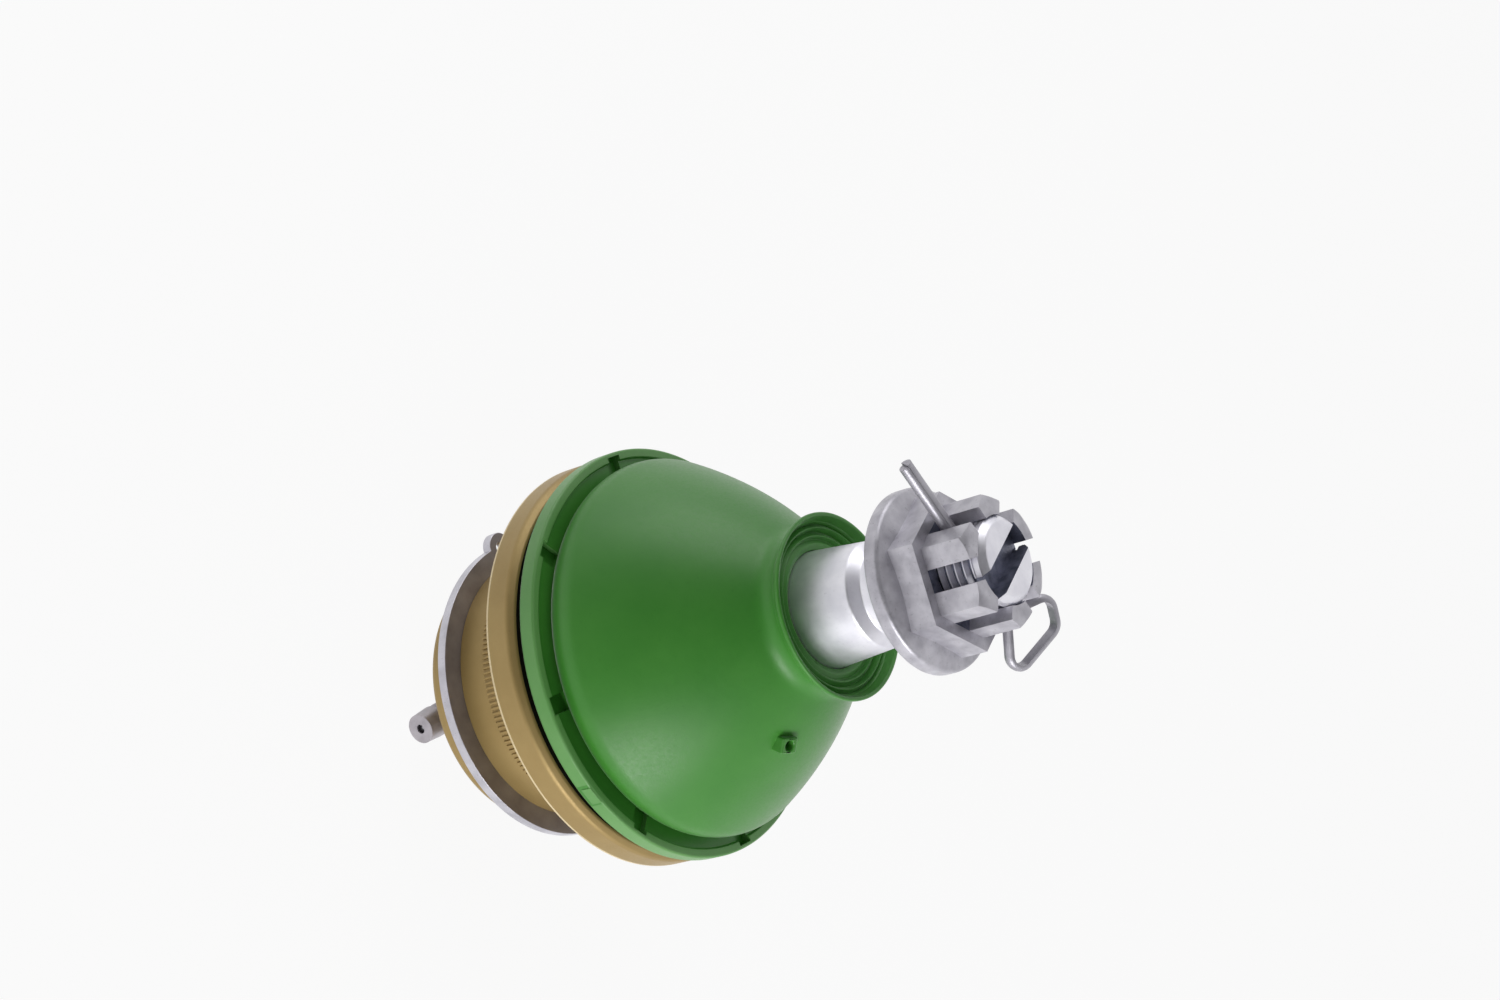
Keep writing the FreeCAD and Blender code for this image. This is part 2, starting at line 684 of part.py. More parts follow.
def make_dust_boot():
    """Rubber boot: rim with notches, groove, dome with a vent, waisted neck and stepped funnel lip."""
    body = new_body("dust_boot")
    sketch = new_sketch(body, "BootProfile")
    rim_top = f"({BOOT_BOTTOM} + boot_rim_height)"
    ledge = f"({BOOT_RIM} - boot_ledge_width)"
    floor = f"({rim_top} - boot_groove_depth)"
    groove_foot = f"({ledge} - boot_groove_width)"
    lip_top = "(boot_lip_height + boot_lip_edge)"
    ring_slot = f"({NECK_RING_INNER} + neck_ring_wall + face_gap)"
    ring_top = f"({NECK_RING_BOTTOM} + neck_ring_height + face_gap)"
    flange_slot = f"({BASE_FLANGE_RADIUS} + face_gap)"
    sleeve = f"({BASE_RING_OUTER} + face_gap)"
    waist_radius = f"({BOOT_RIM} - boot_waist_inset)"
    waist_height = f"({BOOT_BOTTOM} + boot_waist_rise)"
    neck_height = "(boot_lip_height - boot_neck_drop)"
    corners = [
        (flange_slot, BOOT_BOTTOM),
        (BOOT_RIM, BOOT_BOTTOM),
        (BOOT_RIM, rim_top),
        (ledge, rim_top),
        (ledge, floor),
        (groove_foot, floor, "boot_base_bulge", 1),
        (waist_radius, waist_height, "boot_dome_bulge", 1),
        ("boot_neck_radius", neck_height, "boot_neck_curve", -1),
        ("boot_lip_radius", "boot_lip_height"),
        ("boot_lip_radius", lip_top),
        ("boot_lip_radius - boot_lip_edge", lip_top),
    ]
    seal = f"{lip_top} - boot_funnel_drop"
    for ridge in range(RIDGES):
        step = f"boot_lip_radius - boot_funnel_width - {ridge} * boot_ridge_width"
        corners.append((step, f"{seal} - {ridge} * boot_ridge_height"))
        corners.append((step, f"{seal} - {ridge + 1} * boot_ridge_height"))
    seal = f"({seal} - {RIDGES} * boot_ridge_height)"
    corners += [
        (f"{taper_radius(seal)} + boot_shank_clearance", seal),
        (f"{taper_radius(ring_top)} + boot_shank_clearance", ring_top),
        (ring_slot, ring_top),
        (ring_slot, f"{NECK_RING_BOTTOM} - face_gap"),
        (
            f"boot_neck_radius - boot_wall * {NECK_LEAN[0]}",
            f"{neck_height} - boot_wall * {NECK_LEAN[1]}",
            "boot_dome_bulge - boot_wall",
            -1,
        ),
        (
            f"{waist_radius} - boot_wall * {WAIST_LEAN[0]}",
            f"{waist_height} - boot_wall * {WAIST_LEAN[1]}",
            "boot_base_bulge - boot_wall",
            -1,
        ),
        (f"{sleeve} + boot_wall / 2", f"{BASE_RING_TOP} + face_gap"),
        (sleeve, f"{BASE_RING_TOP} + face_gap"),
        (sleeve, f"{BOOT_BOTTOM} + base_ring_flange_wall + face_gap"),
        (flange_slot, f"{BOOT_BOTTOM} + base_ring_flange_wall + face_gap"),
    ]
    outline(sketch, corners)
    turned(body, sketch)
    notch = new_sketch(body, "NotchProfile")
    outline(
        notch,
        [
            (groove_foot, f"{floor} - boot_notch_drop"),
            (f"{ledge} + boot_notch_depth", f"{floor} - boot_notch_drop"),
            (f"{ledge} + boot_notch_depth", f"{rim_top} + boot_groove_depth"),
            (f"{ledge} - boot_groove_width / 3", f"{rim_top} + boot_groove_depth"),
            (f"{ledge} - boot_groove_width / 3", floor),
            (groove_foot, floor),
        ],
    )
    first = turned(body, notch, "Notch", "PartDesign::Groove")
    first.Midplane = True
    first.setExpression("Angle", bound("boot_notch_angle"))
    notches = repeated(body, first, "Notches", (notch, ["V_Axis"]), "boot_notches")
    notches.setExpression("Angle", bound("360 * (boot_notches - 1) / boot_notches"))
    vent_radius = f"({waist_radius} + vent_place * (boot_neck_radius - {waist_radius}))"
    vent_height = f"{waist_height} + vent_place * ({neck_height} - {waist_height})"
    block = new_sketch(body, "VentProfile", "YZ_Plane")
    box_outline(block, "-vent_length / 2", "vent_length / 2", "-vent_width / 2", "vent_width / 2")
    hole = new_sketch(body, "VentHoleProfile", "YZ_Plane")
    circle(hole, "0", "0", "vent_hole_radius")
    around = FreeCAD.Rotation(Vector(0, 1, 0), number("vent_turn_angle"))
    lean = FreeCAD.Rotation(Vector(1, 0, 0), -number("vent_lean_angle"))
    for item in (block, hole):
        item.AttachmentOffset = FreeCAD.Placement(Vector(), around * lean)
        item.setExpression("AttachmentOffset.Base.x", bound(f"{vent_radius} * sin(vent_turn_angle)"))
        item.setExpression("AttachmentOffset.Base.y", bound(vent_height))
        item.setExpression("AttachmentOffset.Base.z", bound(f"{vent_radius} * cos(vent_turn_angle)"))
    padded(body, block, "Vent", "vent_height")
    bore = body.newObject("PartDesign::Pocket", "VentHole")
    bore.Profile = hole
    bore.Reversed = True
    bore.setExpression("Length", bound("vent_height"))
    turn_about_z(body, "boot_turn_angle")


def make_boot_base_ring():
    body = new_body("boot_base_ring")
    sketch = new_sketch(body, "BaseRingProfile")
    outline(
        sketch,
        [
            (BASE_RING_INNER, "flange_top + face_gap"),
            (BASE_RING_OUTER, "flange_top + face_gap"),
            (BASE_RING_OUTER, BOOT_BOTTOM),
            (BASE_FLANGE_RADIUS, BOOT_BOTTOM),
            (BASE_FLANGE_RADIUS, f"{BOOT_BOTTOM} + base_ring_flange_wall"),
            (BASE_RING_OUTER, f"{BOOT_BOTTOM} + base_ring_flange_wall"),
            (BASE_RING_OUTER, BASE_RING_TOP),
            (BASE_RING_INNER, BASE_RING_TOP),
        ],
    )
    turned(body, sketch)


def make_boot_neck_ring():
    body = new_body("boot_neck_ring")
    sketch = new_sketch(body, "NeckRingProfile")
    outer = f"{NECK_RING_INNER} + neck_ring_wall"
    box_outline(sketch, NECK_RING_INNER, outer, NECK_RING_BOTTOM, f"{NECK_RING_BOTTOM} + neck_ring_height")
    turned(body, sketch)


def make_fitting_body():
    """Elbow grease fitting: threaded stem up into the cover, hexagon, elbow, and a nozzle along -X."""
    body = new_body("fitting_body")
    seat = f"({COVER_BOTTOM} - face_gap)"
    hexagon_bottom = f"({seat} - fitting_hex_height)"
    base = new_sketch(body, "FittingHexagon", "XY_Plane", hexagon_bottom)
    hexagon(base, "fitting_hex_width")
    padded(body, base, "FittingHex", "fitting_hex_height")
    elbow = new_sketch(body, "ElbowProfile")
    outline(
        elbow,
        [
            ("0", HOUSING_BOTTOM),
            ("fitting_body_radius", HOUSING_BOTTOM),
            ("fitting_body_radius", NOZZLE_HEIGHT, "fitting_body_radius", 1),
            ("0", f"{NOZZLE_HEIGHT} - fitting_body_radius"),
        ],
    )
    turned(body, elbow, "Elbow")
    stem = new_sketch(body, "StemProfile")
    box_outline(stem, "0", "fitting_thread_radius", hexagon_bottom, f"{COVER_TOP} - cover_dish_depth")
    turned(body, stem, "Stem")
    nozzle = new_sketch(body, "NozzleProfile")
    nozzle.setExpression("AttachmentOffset.Base.y", bound(NOZZLE_HEIGHT))
    face = "-nozzle_reach"
    shoulder = "-nozzle_reach + nozzle_head_length"
    outline(
        nozzle,
        [
            ("0", "0"),
            ("0", "nozzle_arm_radius"),
            (f"{shoulder} + nozzle_neck_length", "nozzle_arm_radius"),
            (f"{shoulder} + nozzle_neck_length / 2", "nozzle_neck_radius"),
            (shoulder, "nozzle_neck_radius"),
            (f"{shoulder} - nozzle_neck_length / 2", "nozzle_head_radius"),
            (f"{shoulder} - nozzle_neck_length", "nozzle_head_radius"),
            (face, "nozzle_face_radius"),
            (face, "0"),
        ],
    )
    turned(body, nozzle, "Nozzle", axis="H_Axis")
    bore = new_sketch(body, "NozzleBoreProfile")
    bore.setExpression("AttachmentOffset.Base.y", bound(NOZZLE_HEIGHT))
    outline(
        bore,
        [
            (f"{face} - nozzle_lip", "0"),
            (f"{face} - nozzle_lip", "nozzle_mouth"),
            (f"{face} + nozzle_lip / 2", "nozzle_mouth"),
            (f"{face} + nozzle_lip", "nozzle_bore"),
            (f"{face} + nozzle_bore_depth", "nozzle_bore"),
            (f"{face} + nozzle_bore_depth", "nozzle_mouth"),
            ("0", "nozzle_mouth"),
            ("0", "0"),
        ],
    )
    turned(body, bore, "NozzleBore", "PartDesign::Groove", axis="H_Axis")
    passage = new_sketch(body, "PassageProfile")
    box_outline(passage, "0", "nozzle_mouth", NOZZLE_HEIGHT, COVER_TOP)
    turned(body, passage, "Passage", "PartDesign::Groove")
    place_on_fitting(body)


def place_on_fitting(item):
    item.setExpression("Placement.Base.x", bound(FITTING_X))
    item.setExpression("Placement.Base.y", bound("fitting_place_y"))


CHECK_BALL_RADIUS = "(nozzle_bore - check_ball_clearance)"
BALL_SEAT = f"(nozzle_reach - nozzle_lip - {CHECK_BALL_RADIUS} - face_gap)"


def make_fitting_ball():
    ball = doc.addObject("Part::Sphere", "fitting_ball")
    ball.Label = "fitting_ball"
    ball.setExpression("Radius", bound(CHECK_BALL_RADIUS))
    ball.setExpression("Placement.Base.x", bound(f"{FITTING_X} - {BALL_SEAT}"))
    ball.setExpression("Placement.Base.y", bound("fitting_place_y"))
    ball.setExpression("Placement.Base.z", bound(NOZZLE_HEIGHT))


def make_fitting_spring():
    """Coil behind the check ball, wound about the body's Z axis and then laid along the nozzle."""
    body = new_body("fitting_spring")
    spring_end = f"({BALL_SEAT} - {CHECK_BALL_RADIUS} - face_gap - check_spring_wire)"
    spring_start = "(nozzle_reach - nozzle_bore_depth + face_gap + check_spring_wire)"
    section = new_sketch(body, "WireSection")
    coil = "nozzle_bore - check_spring_wire - face_gap"
    circle(section, coil, spring_start, "check_spring_wire")
    helix = body.newObject("PartDesign::AdditiveHelix", "Coil")
    helix.Profile = section
    helix.ReferenceAxis = (section, ["V_Axis"])
    helix.Mode = "height-turns-angle"
    helix.setExpression("Height", bound(f"{spring_end} - {spring_start}"))
    helix.setExpression("Turns", bound("check_spring_turns"))
    body.Placement = FreeCAD.Placement(Vector(), FreeCAD.Rotation(Vector(0, 1, 0), -90))
    place_on_fitting(body)
    body.setExpression("Placement.Base.z", bound(NOZZLE_HEIGHT))


NODES = {
    "housing": make_housing,
    "cover_plate": make_cover_plate,
    "upper_bearing": make_upper_bearing,
    "lower_bearing": make_lower_bearing,
    "ball_liner": make_ball_liner,
    "belleville_spring": make_belleville_spring,
    "ball_stud": make_ball_stud,
    "castle_nut": make_castle_nut,
    "cotter_pin": make_cotter_pin,
    "snap_ring": make_snap_ring,
    "dust_boot": make_dust_boot,
    "boot_base_ring": make_boot_base_ring,
    "boot_neck_ring": make_boot_neck_ring,
    "fitting_body": make_fitting_body,
    "fitting_ball": make_fitting_ball,
    "fitting_spring": make_fitting_spring,
}

for make in NODES.values():
    make()
doc.recompute()

failed = [item.Name for item in doc.Objects if "Invalid" in item.State or "Error" in item.State]
if failed:
    raise RuntimeError("objects that failed: " + ", ".join(failed))

shapes = {}
for name in NODES:
    shape = doc.getObjectsByLabel(name)[0].Shape
    if shape.isNull() or not shape.isValid() or len(shape.Solids) != 1:
        raise RuntimeError("no single valid solid in " + name)
    shapes[name] = shape

for name, shape in shapes.items():
    shape.exportStep(os.path.join("parts", name + ".step"))
    box = shape.BoundBox
    print(f"{name:18s} volume {shape.Volume:10.2f}  z {box.ZMin:7.2f} {box.ZMax:7.2f}")
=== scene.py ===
import math

import bmesh
import bpy
from mathutils import Matrix, Vector


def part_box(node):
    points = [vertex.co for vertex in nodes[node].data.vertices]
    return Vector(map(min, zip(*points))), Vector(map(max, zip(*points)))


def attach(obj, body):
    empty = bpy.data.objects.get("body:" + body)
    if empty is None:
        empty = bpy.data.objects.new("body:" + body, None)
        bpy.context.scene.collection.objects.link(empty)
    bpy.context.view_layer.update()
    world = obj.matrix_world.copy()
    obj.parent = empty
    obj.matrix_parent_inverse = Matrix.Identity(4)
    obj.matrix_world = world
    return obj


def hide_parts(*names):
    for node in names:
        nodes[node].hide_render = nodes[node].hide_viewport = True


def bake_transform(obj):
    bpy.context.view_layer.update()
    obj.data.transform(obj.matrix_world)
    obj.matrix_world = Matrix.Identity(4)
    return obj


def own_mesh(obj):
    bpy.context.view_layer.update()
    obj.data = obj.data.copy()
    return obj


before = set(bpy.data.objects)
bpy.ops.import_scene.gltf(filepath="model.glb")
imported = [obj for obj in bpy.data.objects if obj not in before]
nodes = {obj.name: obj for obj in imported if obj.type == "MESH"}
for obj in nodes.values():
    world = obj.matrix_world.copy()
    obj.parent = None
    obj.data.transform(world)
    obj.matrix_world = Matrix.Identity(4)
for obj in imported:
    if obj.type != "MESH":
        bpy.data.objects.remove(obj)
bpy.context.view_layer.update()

scene = bpy.context.scene
scene.view_settings.view_transform = "Standard"

# Camera, where the photograph was taken from: above the part on the grease nozzle's side, with the
# stud pointing to the right, a little up and towards the lens. The axes are the picture's own
# right, up and back, written in the part's frame.
camera_right = Vector((0.53992, -0.36934, 0.75636))
camera_up = Vector((0.30022, 0.92399, 0.23689))
camera_back = Vector((-0.78635, 0.09918, 0.60976))
camera_place = Vector((-0.37263, 0.06720, 0.32946))
camera_data = bpy.data.cameras.new("camera")
camera_data.lens = 72
camera_data.sensor_width = 36
camera_data.clip_start = 0.01
camera = bpy.data.objects.new("camera", camera_data)
scene.collection.objects.link(camera)
camera_turn = Matrix((camera_right, camera_up, camera_back)).transposed()
camera.matrix_world = Matrix.Translation(camera_place) @ camera_turn.to_4x4()
scene.camera = camera


# Housing: a turned steel can with a wide flange, yellow-passivated zinc over fine turning marks.
# Its press-in barrel has a straight knurl below the flange, rolled into the steel, then a plain
# length with the snap ring's groove, and its lower edge is rolled over the cover plate.
def add_node(tree, kind, values=None, **settings):
    """Add a shader node. Each value is a plain one, or another node's socket, which is then linked."""
    node = tree.nodes.new(kind)
    for name, value in settings.items():
        setattr(node, name, value)
    for name, value in (values or {}).items():
        if isinstance(value, bpy.types.NodeSocket):
            tree.links.new(value, node.inputs[name])
        else:
            node.inputs[name].default_value = value
    return node


def shader_group(name, inputs, outputs):
    """A node group with number sockets: (the group, its input node, its output node)."""
    group = bpy.data.node_groups.new(name, "ShaderNodeTree")
    for label, value in inputs.items():
        socket = group.interface.new_socket(label, in_out="INPUT", socket_type="NodeSocketFloat")
        socket.default_value = value
    for label in outputs:
        group.interface.new_socket(label, in_out="OUTPUT", socket_type="NodeSocketFloat")
    return group, group.nodes.new("NodeGroupInput"), group.nodes.new("NodeGroupOutput")


def srgb(red, green, blue):
    """A colour written as 0 to 255 values, as the linear numbers that shaders use."""
    shares = (red / 255, green / 255, blue / 255)
    return tuple(s / 12.92 if s <= 0.04045 else ((s + 0.055) / 1.055) ** 2.4 for s in shares) + (1,)


# Mottle: wide soft clouds and fine grain, for any finish.
mottle_inputs = {"Cloud Scale": 90, "Grain Scale": 2400}
mottle, group_in, group_out = shader_group("mottle", mottle_inputs, ("Cloud", "Grain"))
place = add_node(mottle, "ShaderNodeTexCoord").outputs["Object"]
cloud = add_node(
    mottle,
    "ShaderNodeTexNoise",
    {"Vector": place, "Scale": group_in.outputs["Cloud Scale"], "Detail": 4.0, "Roughness": 0.55},
)
grain = add_node(
    mottle,
    "ShaderNodeTexNoise",
    {"Vector": place, "Scale": group_in.outputs["Grain Scale"], "Detail": 3.0, "Roughness": 0.6},
)
mottle.links.new(cloud.outputs["Fac"], group_out.inputs["Cloud"])
mottle.links.new(grain.outputs["Fac"], group_out.inputs["Grain"])

# Turning rings: the marks of a turning tool, the same all the way round the part's Z axis.
rings, group_in, group_out = shader_group("turning_rings", {"Scale": 3000}, ("Marks",))
place = add_node(rings, "ShaderNodeTexCoord").outputs["Object"]
split = add_node(rings, "ShaderNodeSeparateXYZ", {"Vector": place})
flat_place = add_node(rings, "ShaderNodeCombineXYZ", {"X": split.outputs["X"], "Y": split.outputs["Y"]})
radius = add_node(rings, "ShaderNodeVectorMath", {0: flat_place.outputs["Vector"]}, operation="LENGTH")
section = add_node(rings, "ShaderNodeCombineXYZ", {"X": radius.outputs["Value"], "Z": split.outputs["Z"]})
marks = add_node(
    rings,
    "ShaderNodeTexNoise",
    {"Vector": section.outputs["Vector"], "Scale": group_in.outputs["Scale"], "Detail": 2.0},
)
rings.links.new(marks.outputs["Fac"], group_out.inputs["Marks"])

# A Mix node's colour sockets share their labels with its number sockets, so they go by place.
colour_a = 6
colour_b = 7
mixed_colour = 2
gloss_drift = 0.07


def finish_material(name, pale, dark, metallic, rough, bump, clouds, grains, turning=0, specks=0.0):
    """A finish that drifts between two shades, with specks and with relief from grain and tool marks.

    bump is the height of that relief in metres, and specks says how much the darkest grains darken.
    clouds, grains and turning are noise scales: the larger the number, the finer the pattern.
    """
    material = bpy.data.materials.new(name)
    material.use_nodes = True
    tree = material.node_tree
    shader = tree.nodes["Principled BSDF"]
    shader.inputs["Metallic"].default_value = metallic
    scales = {"Cloud Scale": clouds, "Grain Scale": grains}
    drift = add_node(tree, "ShaderNodeGroup", scales, node_tree=mottle)
    spread = add_node(
        tree,
        "ShaderNodeMapRange",
        {"Value": drift.outputs["Cloud"], "From Min": 0.35, "From Max": 0.65},
    )
    colour = add_node(
        tree,
        "ShaderNodeMix",
        {"Factor": spread.outputs["Result"], colour_a: dark, colour_b: pale},
        data_type="RGBA",
    )
    speck = add_node(
        tree,
        "ShaderNodeMapRange",
        {"Value": drift.outputs["Grain"], "From Min": 0.28, "From Max": 0.36, "To Min": 1.0 - specks},
    )
    speckled = add_node(
        tree,
        "ShaderNodeMix",
        {"Factor": 1.0, colour_a: colour.outputs[mixed_colour], colour_b: speck.outputs["Result"]},
        data_type="RGBA",
        blend_type="MULTIPLY",
    )
    tree.links.new(speckled.outputs[mixed_colour], shader.inputs["Base Color"])
    gloss = add_node(
        tree,
        "ShaderNodeMapRange",
        {
            "Value": drift.outputs["Grain"],
            "From Min": 0.3,
            "From Max": 0.7,
            "To Min": rough - gloss_drift,
            "To Max": rough + gloss_drift,
        },
    )
    tree.links.new(gloss.outputs["Result"], shader.inputs["Roughness"])
    relief = drift.outputs["Grain"]
    if turning:
        tool = add_node(tree, "ShaderNodeGroup", {"Scale": turning}, node_tree=rings)
        both = add_node(tree, "ShaderNodeMath", {0: relief, 1: tool.outputs["Marks"]}, operation="ADD")
        relief = both.outputs["Value"]
    bumped = add_node(tree, "ShaderNodeBump", {"Height": relief, "Strength": 1.0, "Distance": bump})
    tree.links.new(bumped.outputs["Normal"], shader.inputs["Normal"])
    return material


def dress(node_names, material):
    """Give CAD nodes their finish."""
    for name in node_names:
        nodes[name].data.materials.clear()
        nodes[name].data.materials.append(material)


def keep_piece(name, mesh, material, sharp=35):
    """Turn a mesh worked in millimetres into a piece with smooth faces and crisp edges."""
    bmesh.ops.scale(mesh, vec=(0.001, 0.001, 0.001), verts=mesh.verts)
    data = bpy.data.meshes.new(name)
    mesh.to_mesh(data)
    mesh.free()
    data.shade_smooth()
    data.set_sharp_from_angle(angle=math.radians(sharp))
    data.materials.append(material)
    piece = bpy.data.objects.new(name, data)
    scene.collection.objects.link(piece)
    return piece


def lathe(outline, steps=160):
    """Spin a closed outline about the part's Z axis, in millimetres.

    Its points are (radius, height), and a third number eases that corner by as many millimetres.
    """
    mesh = bmesh.new()
    corners = [mesh.verts.new((point[0], 0, point[1])) for point in outline]
    mesh.faces.new(corners)
    eases = [point[2] if len(point) > 2 else 0 for point in outline]
    for ease in sorted(set(eases) - {0}):
        soft = [corner for corner, own in zip(corners, eases) if own == ease]
        bmesh.ops.bevel(
            mesh, geom=soft, offset=ease, affect="VERTICES", segments=4, profile=0.5, material=-1
        )
    bmesh.ops.delete(mesh, geom=mesh.faces[:], context="FACES_ONLY")
    on_axis = [edge for edge in mesh.edges if max(abs(vert.co.x) for vert in edge.verts) < 1e-6]
    bmesh.ops.delete(mesh, geom=on_axis, context="EDGES")
    wire = mesh.verts[:] + mesh.edges[:]
    bmesh.ops.spin(mesh, geom=wire, axis=(0, 0, 1), angle=math.tau, steps=steps, use_merge=True)
    bmesh.ops.remove_doubles(mesh, verts=mesh.verts, dist=1e-4)
    bmesh.ops.recalc_face_normals(mesh, faces=mesh.faces)
    return mesh


def even_shading(piece):
    """Let wide faces set the normals at the edges that they share with narrow ones."""
    weighted = piece.modifiers.new("even_shading", "WEIGHTED_NORMAL")
    weighted.keep_sharp = True


zinc = finish_material(
    "yellow_zinc",
    srgb(174, 148, 94),
    srgb(164, 138, 85),
    metallic=0.35,
    rough=0.45,
    bump=5e-6,
    clouds=90,
    grains=3000,
    turning=4000,
    specks=0.08,
)
dress(("cover_plate",), zinc)

barrel_radius = 22.1
bore_radius = 18.0
bore_top = 9.45
mouth_low_radius = 13.17
mouth_top_radius = 15.56
crimp_radius = 16.4
housing_bottom = -20.5
cover_seat = -19.0
ring_groove_radius = 20.7
ring_groove_bottom = -15.1
ring_groove_top = -13.25
flange_radius = 33.8
flange_bottom = 4.7
flange_top = 10.2
flange_chamfer = 1.0
edge_break = 0.15
highlight_band = 0.5
recess_radius = 32.5
recess_floor = 8.2
recess_draft = 0.1
collar_radius = 26.0
collar_top = 14.5
housing_outline = [
    (mouth_low_radius, bore_top),
    (bore_radius, bore_top),
    (bore_radius, cover_seat),
    (crimp_radius, cover_seat),
    (crimp_radius, housing_bottom, 0.3),
    (barrel_radius, housing_bottom, 1.3),
    (barrel_radius, ring_groove_bottom, 0.2),
    (ring_groove_radius, ring_groove_bottom),
    (ring_groove_radius, ring_groove_top),
    (barrel_radius, ring_groove_top, 0.2),
    (barrel_radius, flange_bottom),
    (flange_radius - edge_break, flange_bottom),
    (flange_radius, flange_bottom + edge_break),
    (flange_radius, flange_bottom + highlight_band),
    (flange_radius, flange_top - flange_chamfer, 0.5),
    (flange_radius - flange_chamfer, flange_top, 0.3),
    (recess_radius, flange_top),
    (recess_radius - recess_draft, recess_floor),
    (collar_radius, recess_floor),
    (collar_radius, collar_top, 0.3),
    (mouth_top_radius, collar_top, 0.3),
]
turned = lathe(housing_outline, 256)
# Faces of a narrow band at the flange's lower edge take a paler zinc, a painted highlight.
wear_and_highlight_slot = 1
# Faces of the recess under the boot's rim take a near-black finish, painted shade.
painted_shade_slot = 2
for face in turned.faces:
    middle = face.calc_center_median()
    reach = middle.xy.length
    if reach > flange_radius - 0.2 and middle.z < flange_bottom + highlight_band:
        face.material_index = wear_and_highlight_slot
    elif collar_radius < reach < recess_radius and flange_bottom < middle.z < flange_top - 0.5:
        face.material_index = painted_shade_slot
# A paler zinc that paints a highlight on the flange's lower edge.
painted_highlight_zinc = finish_material(
    "painted_highlight_zinc",
    srgb(236, 218, 176),
    srgb(222, 202, 160),
    metallic=0.3,
    rough=0.4,
    bump=4e-6,
    clouds=300,
    grains=3000,
    specks=0.1,
)
housing_piece = keep_piece("housing_turned", turned, zinc)
# A near-black finish that paints shade into the recess under the boot's rim.
painted_shade_recess = finish_material(
    "painted_shade_recess",
    srgb(34, 28, 18),
    srgb(22, 18, 12),
    metallic=0.0,
    rough=0.6,
    bump=6e-6,
    clouds=300,
    grains=3000,
    specks=0.2,
)
housing_piece.data.materials.append(painted_highlight_zinc)
housing_piece.data.materials.append(painted_shade_recess)
even_shading(housing_piece)
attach(housing_piece, "housing")
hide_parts("housing")

knurl_bottom = -8.1
knurl_ribs = 165
rib_width = 0.46
rib_height = 0.3
rib_length = flange_bottom - knurl_bottom
rib_slope = 0.4
rib_rounding = 0.14
rib = bmesh.new()
bmesh.ops.create_cube(rib, size=1)
bmesh.ops.scale(rib, vec=(rib_height * 2, rib_width, rib_length), verts=rib.verts)
outer = [edge for edge in rib.edges if min(vert.co.x for vert in edge.verts) > 0]
crests = [edge for edge in outer if edge.calc_length() > rib_length / 2]
ends = [vert for vert in rib.verts if vert.co.x > 0 and vert.co.z < 0]
bmesh.ops.translate(rib, vec=(0, 0, rib_slope), verts=ends)
bmesh.ops.bevel(rib, geom=crests, offset=rib_rounding, affect="EDGES", segments=2, profile=0.5, material=-1)
bmesh.ops.translate(rib, vec=(barrel_radius, 0, (flange_bottom + knurl_bottom) / 2), verts=rib.verts)
bmesh.ops.spin(
    rib,
    geom=rib.verts[:] + rib.edges[:] + rib.faces[:],
    axis=(0, 0, 1),
    angle=math.tau * (1 - 1 / knurl_ribs),
    steps=knurl_ribs - 1,
    use_duplicate=True,
)
knurl = keep_piece("knurl", rib, zinc)
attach(knurl, "housing")


# Cover plate's grease fitting: a zinc-plated elbow with a hexagon, and a check ball on its coil,
# which shortens when the coupler pushes the ball in.
fitting_zinc = finish_material(
    "fitting_zinc",
    srgb(192, 187, 193),
    srgb(164, 159, 165),
    metallic=0.5,
    rough=0.4,
    bump=8e-6,
    clouds=260,
    grains=2600,
    specks=0.25,
)
dress(("fitting_body",), fitting_zinc)
ball_steel = finish_material(
    "bearing_steel",
    srgb(165, 163, 168),
    srgb(148, 146, 152),
    metallic=0.8,
    rough=0.32,
    bump=2e-6,
    clouds=150,
    grains=5000,
)
dress(("fitting_ball",), ball_steel)
coil = bmesh.new()
coil.from_mesh(nodes["fitting_spring"].data)
bmesh.ops.remove_doubles(coil, verts=coil.verts, dist=1e-6)
bmesh.ops.scale(coil, vec=(1000, 1000, 1000), verts=coil.verts)
coil_piece = keep_piece("fitting_coil", coil, ball_steel)
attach(coil_piece, "housing")
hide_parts("fitting_spring")
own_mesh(coil_piece)


# Snap ring: stamped spring steel with tumbled edges, so its wide face mirrors the flange above it. Its rim
# and rounded edges are a paler, glossier steel, a painted highlight. It is opened by two lugs with holes.
ring_steel = finish_material(
    "tumbled_steel",
    srgb(158, 153, 156),
    srgb(136, 131, 134),
    metallic=0.45,
    rough=0.38,
    bump=5e-6,
    clouds=200,
    grains=3000,
    specks=0.12,
)
ring_middle = 24
snap = bmesh.new()
snap.from_mesh(nodes["snap_ring"].data)
bmesh.ops.remove_doubles(snap, verts=snap.verts, dist=1e-6)
bmesh.ops.dissolve_limit(snap, angle_limit=math.radians(1), verts=snap.verts, edges=snap.edges)
bmesh.ops.scale(snap, vec=(1000, 1000, 1000), verts=snap.verts)
# Upright faces on the ring's outer rim take the paler steel, a painted highlight.
for face in snap.faces:
    upright = abs(face.normal.z) < 0.3
    face.material_index = int(upright and face.calc_center_median().xy.length > ring_middle)
snap_piece = keep_piece("snap_ring_tumbled", snap, ring_steel)


def ease_edges(piece, width, wear_and_highlight=None):
    """Round a piece's crisp edges by a width in metres and keep its faces flat. The rounded edges can take
    a second finish: painted highlight on the snap ring, wear on the nut.
    """
    easing = piece.modifiers.new("eased_edges", "BEVEL")
    easing.width = width
    easing.segments = 3
    easing.limit_method = "ANGLE"
    easing.angle_limit = math.radians(35)
    easing.harden_normals = True
    if wear_and_highlight:
        piece.data.materials.append(wear_and_highlight)
        easing.material = wear_and_highlight_slot


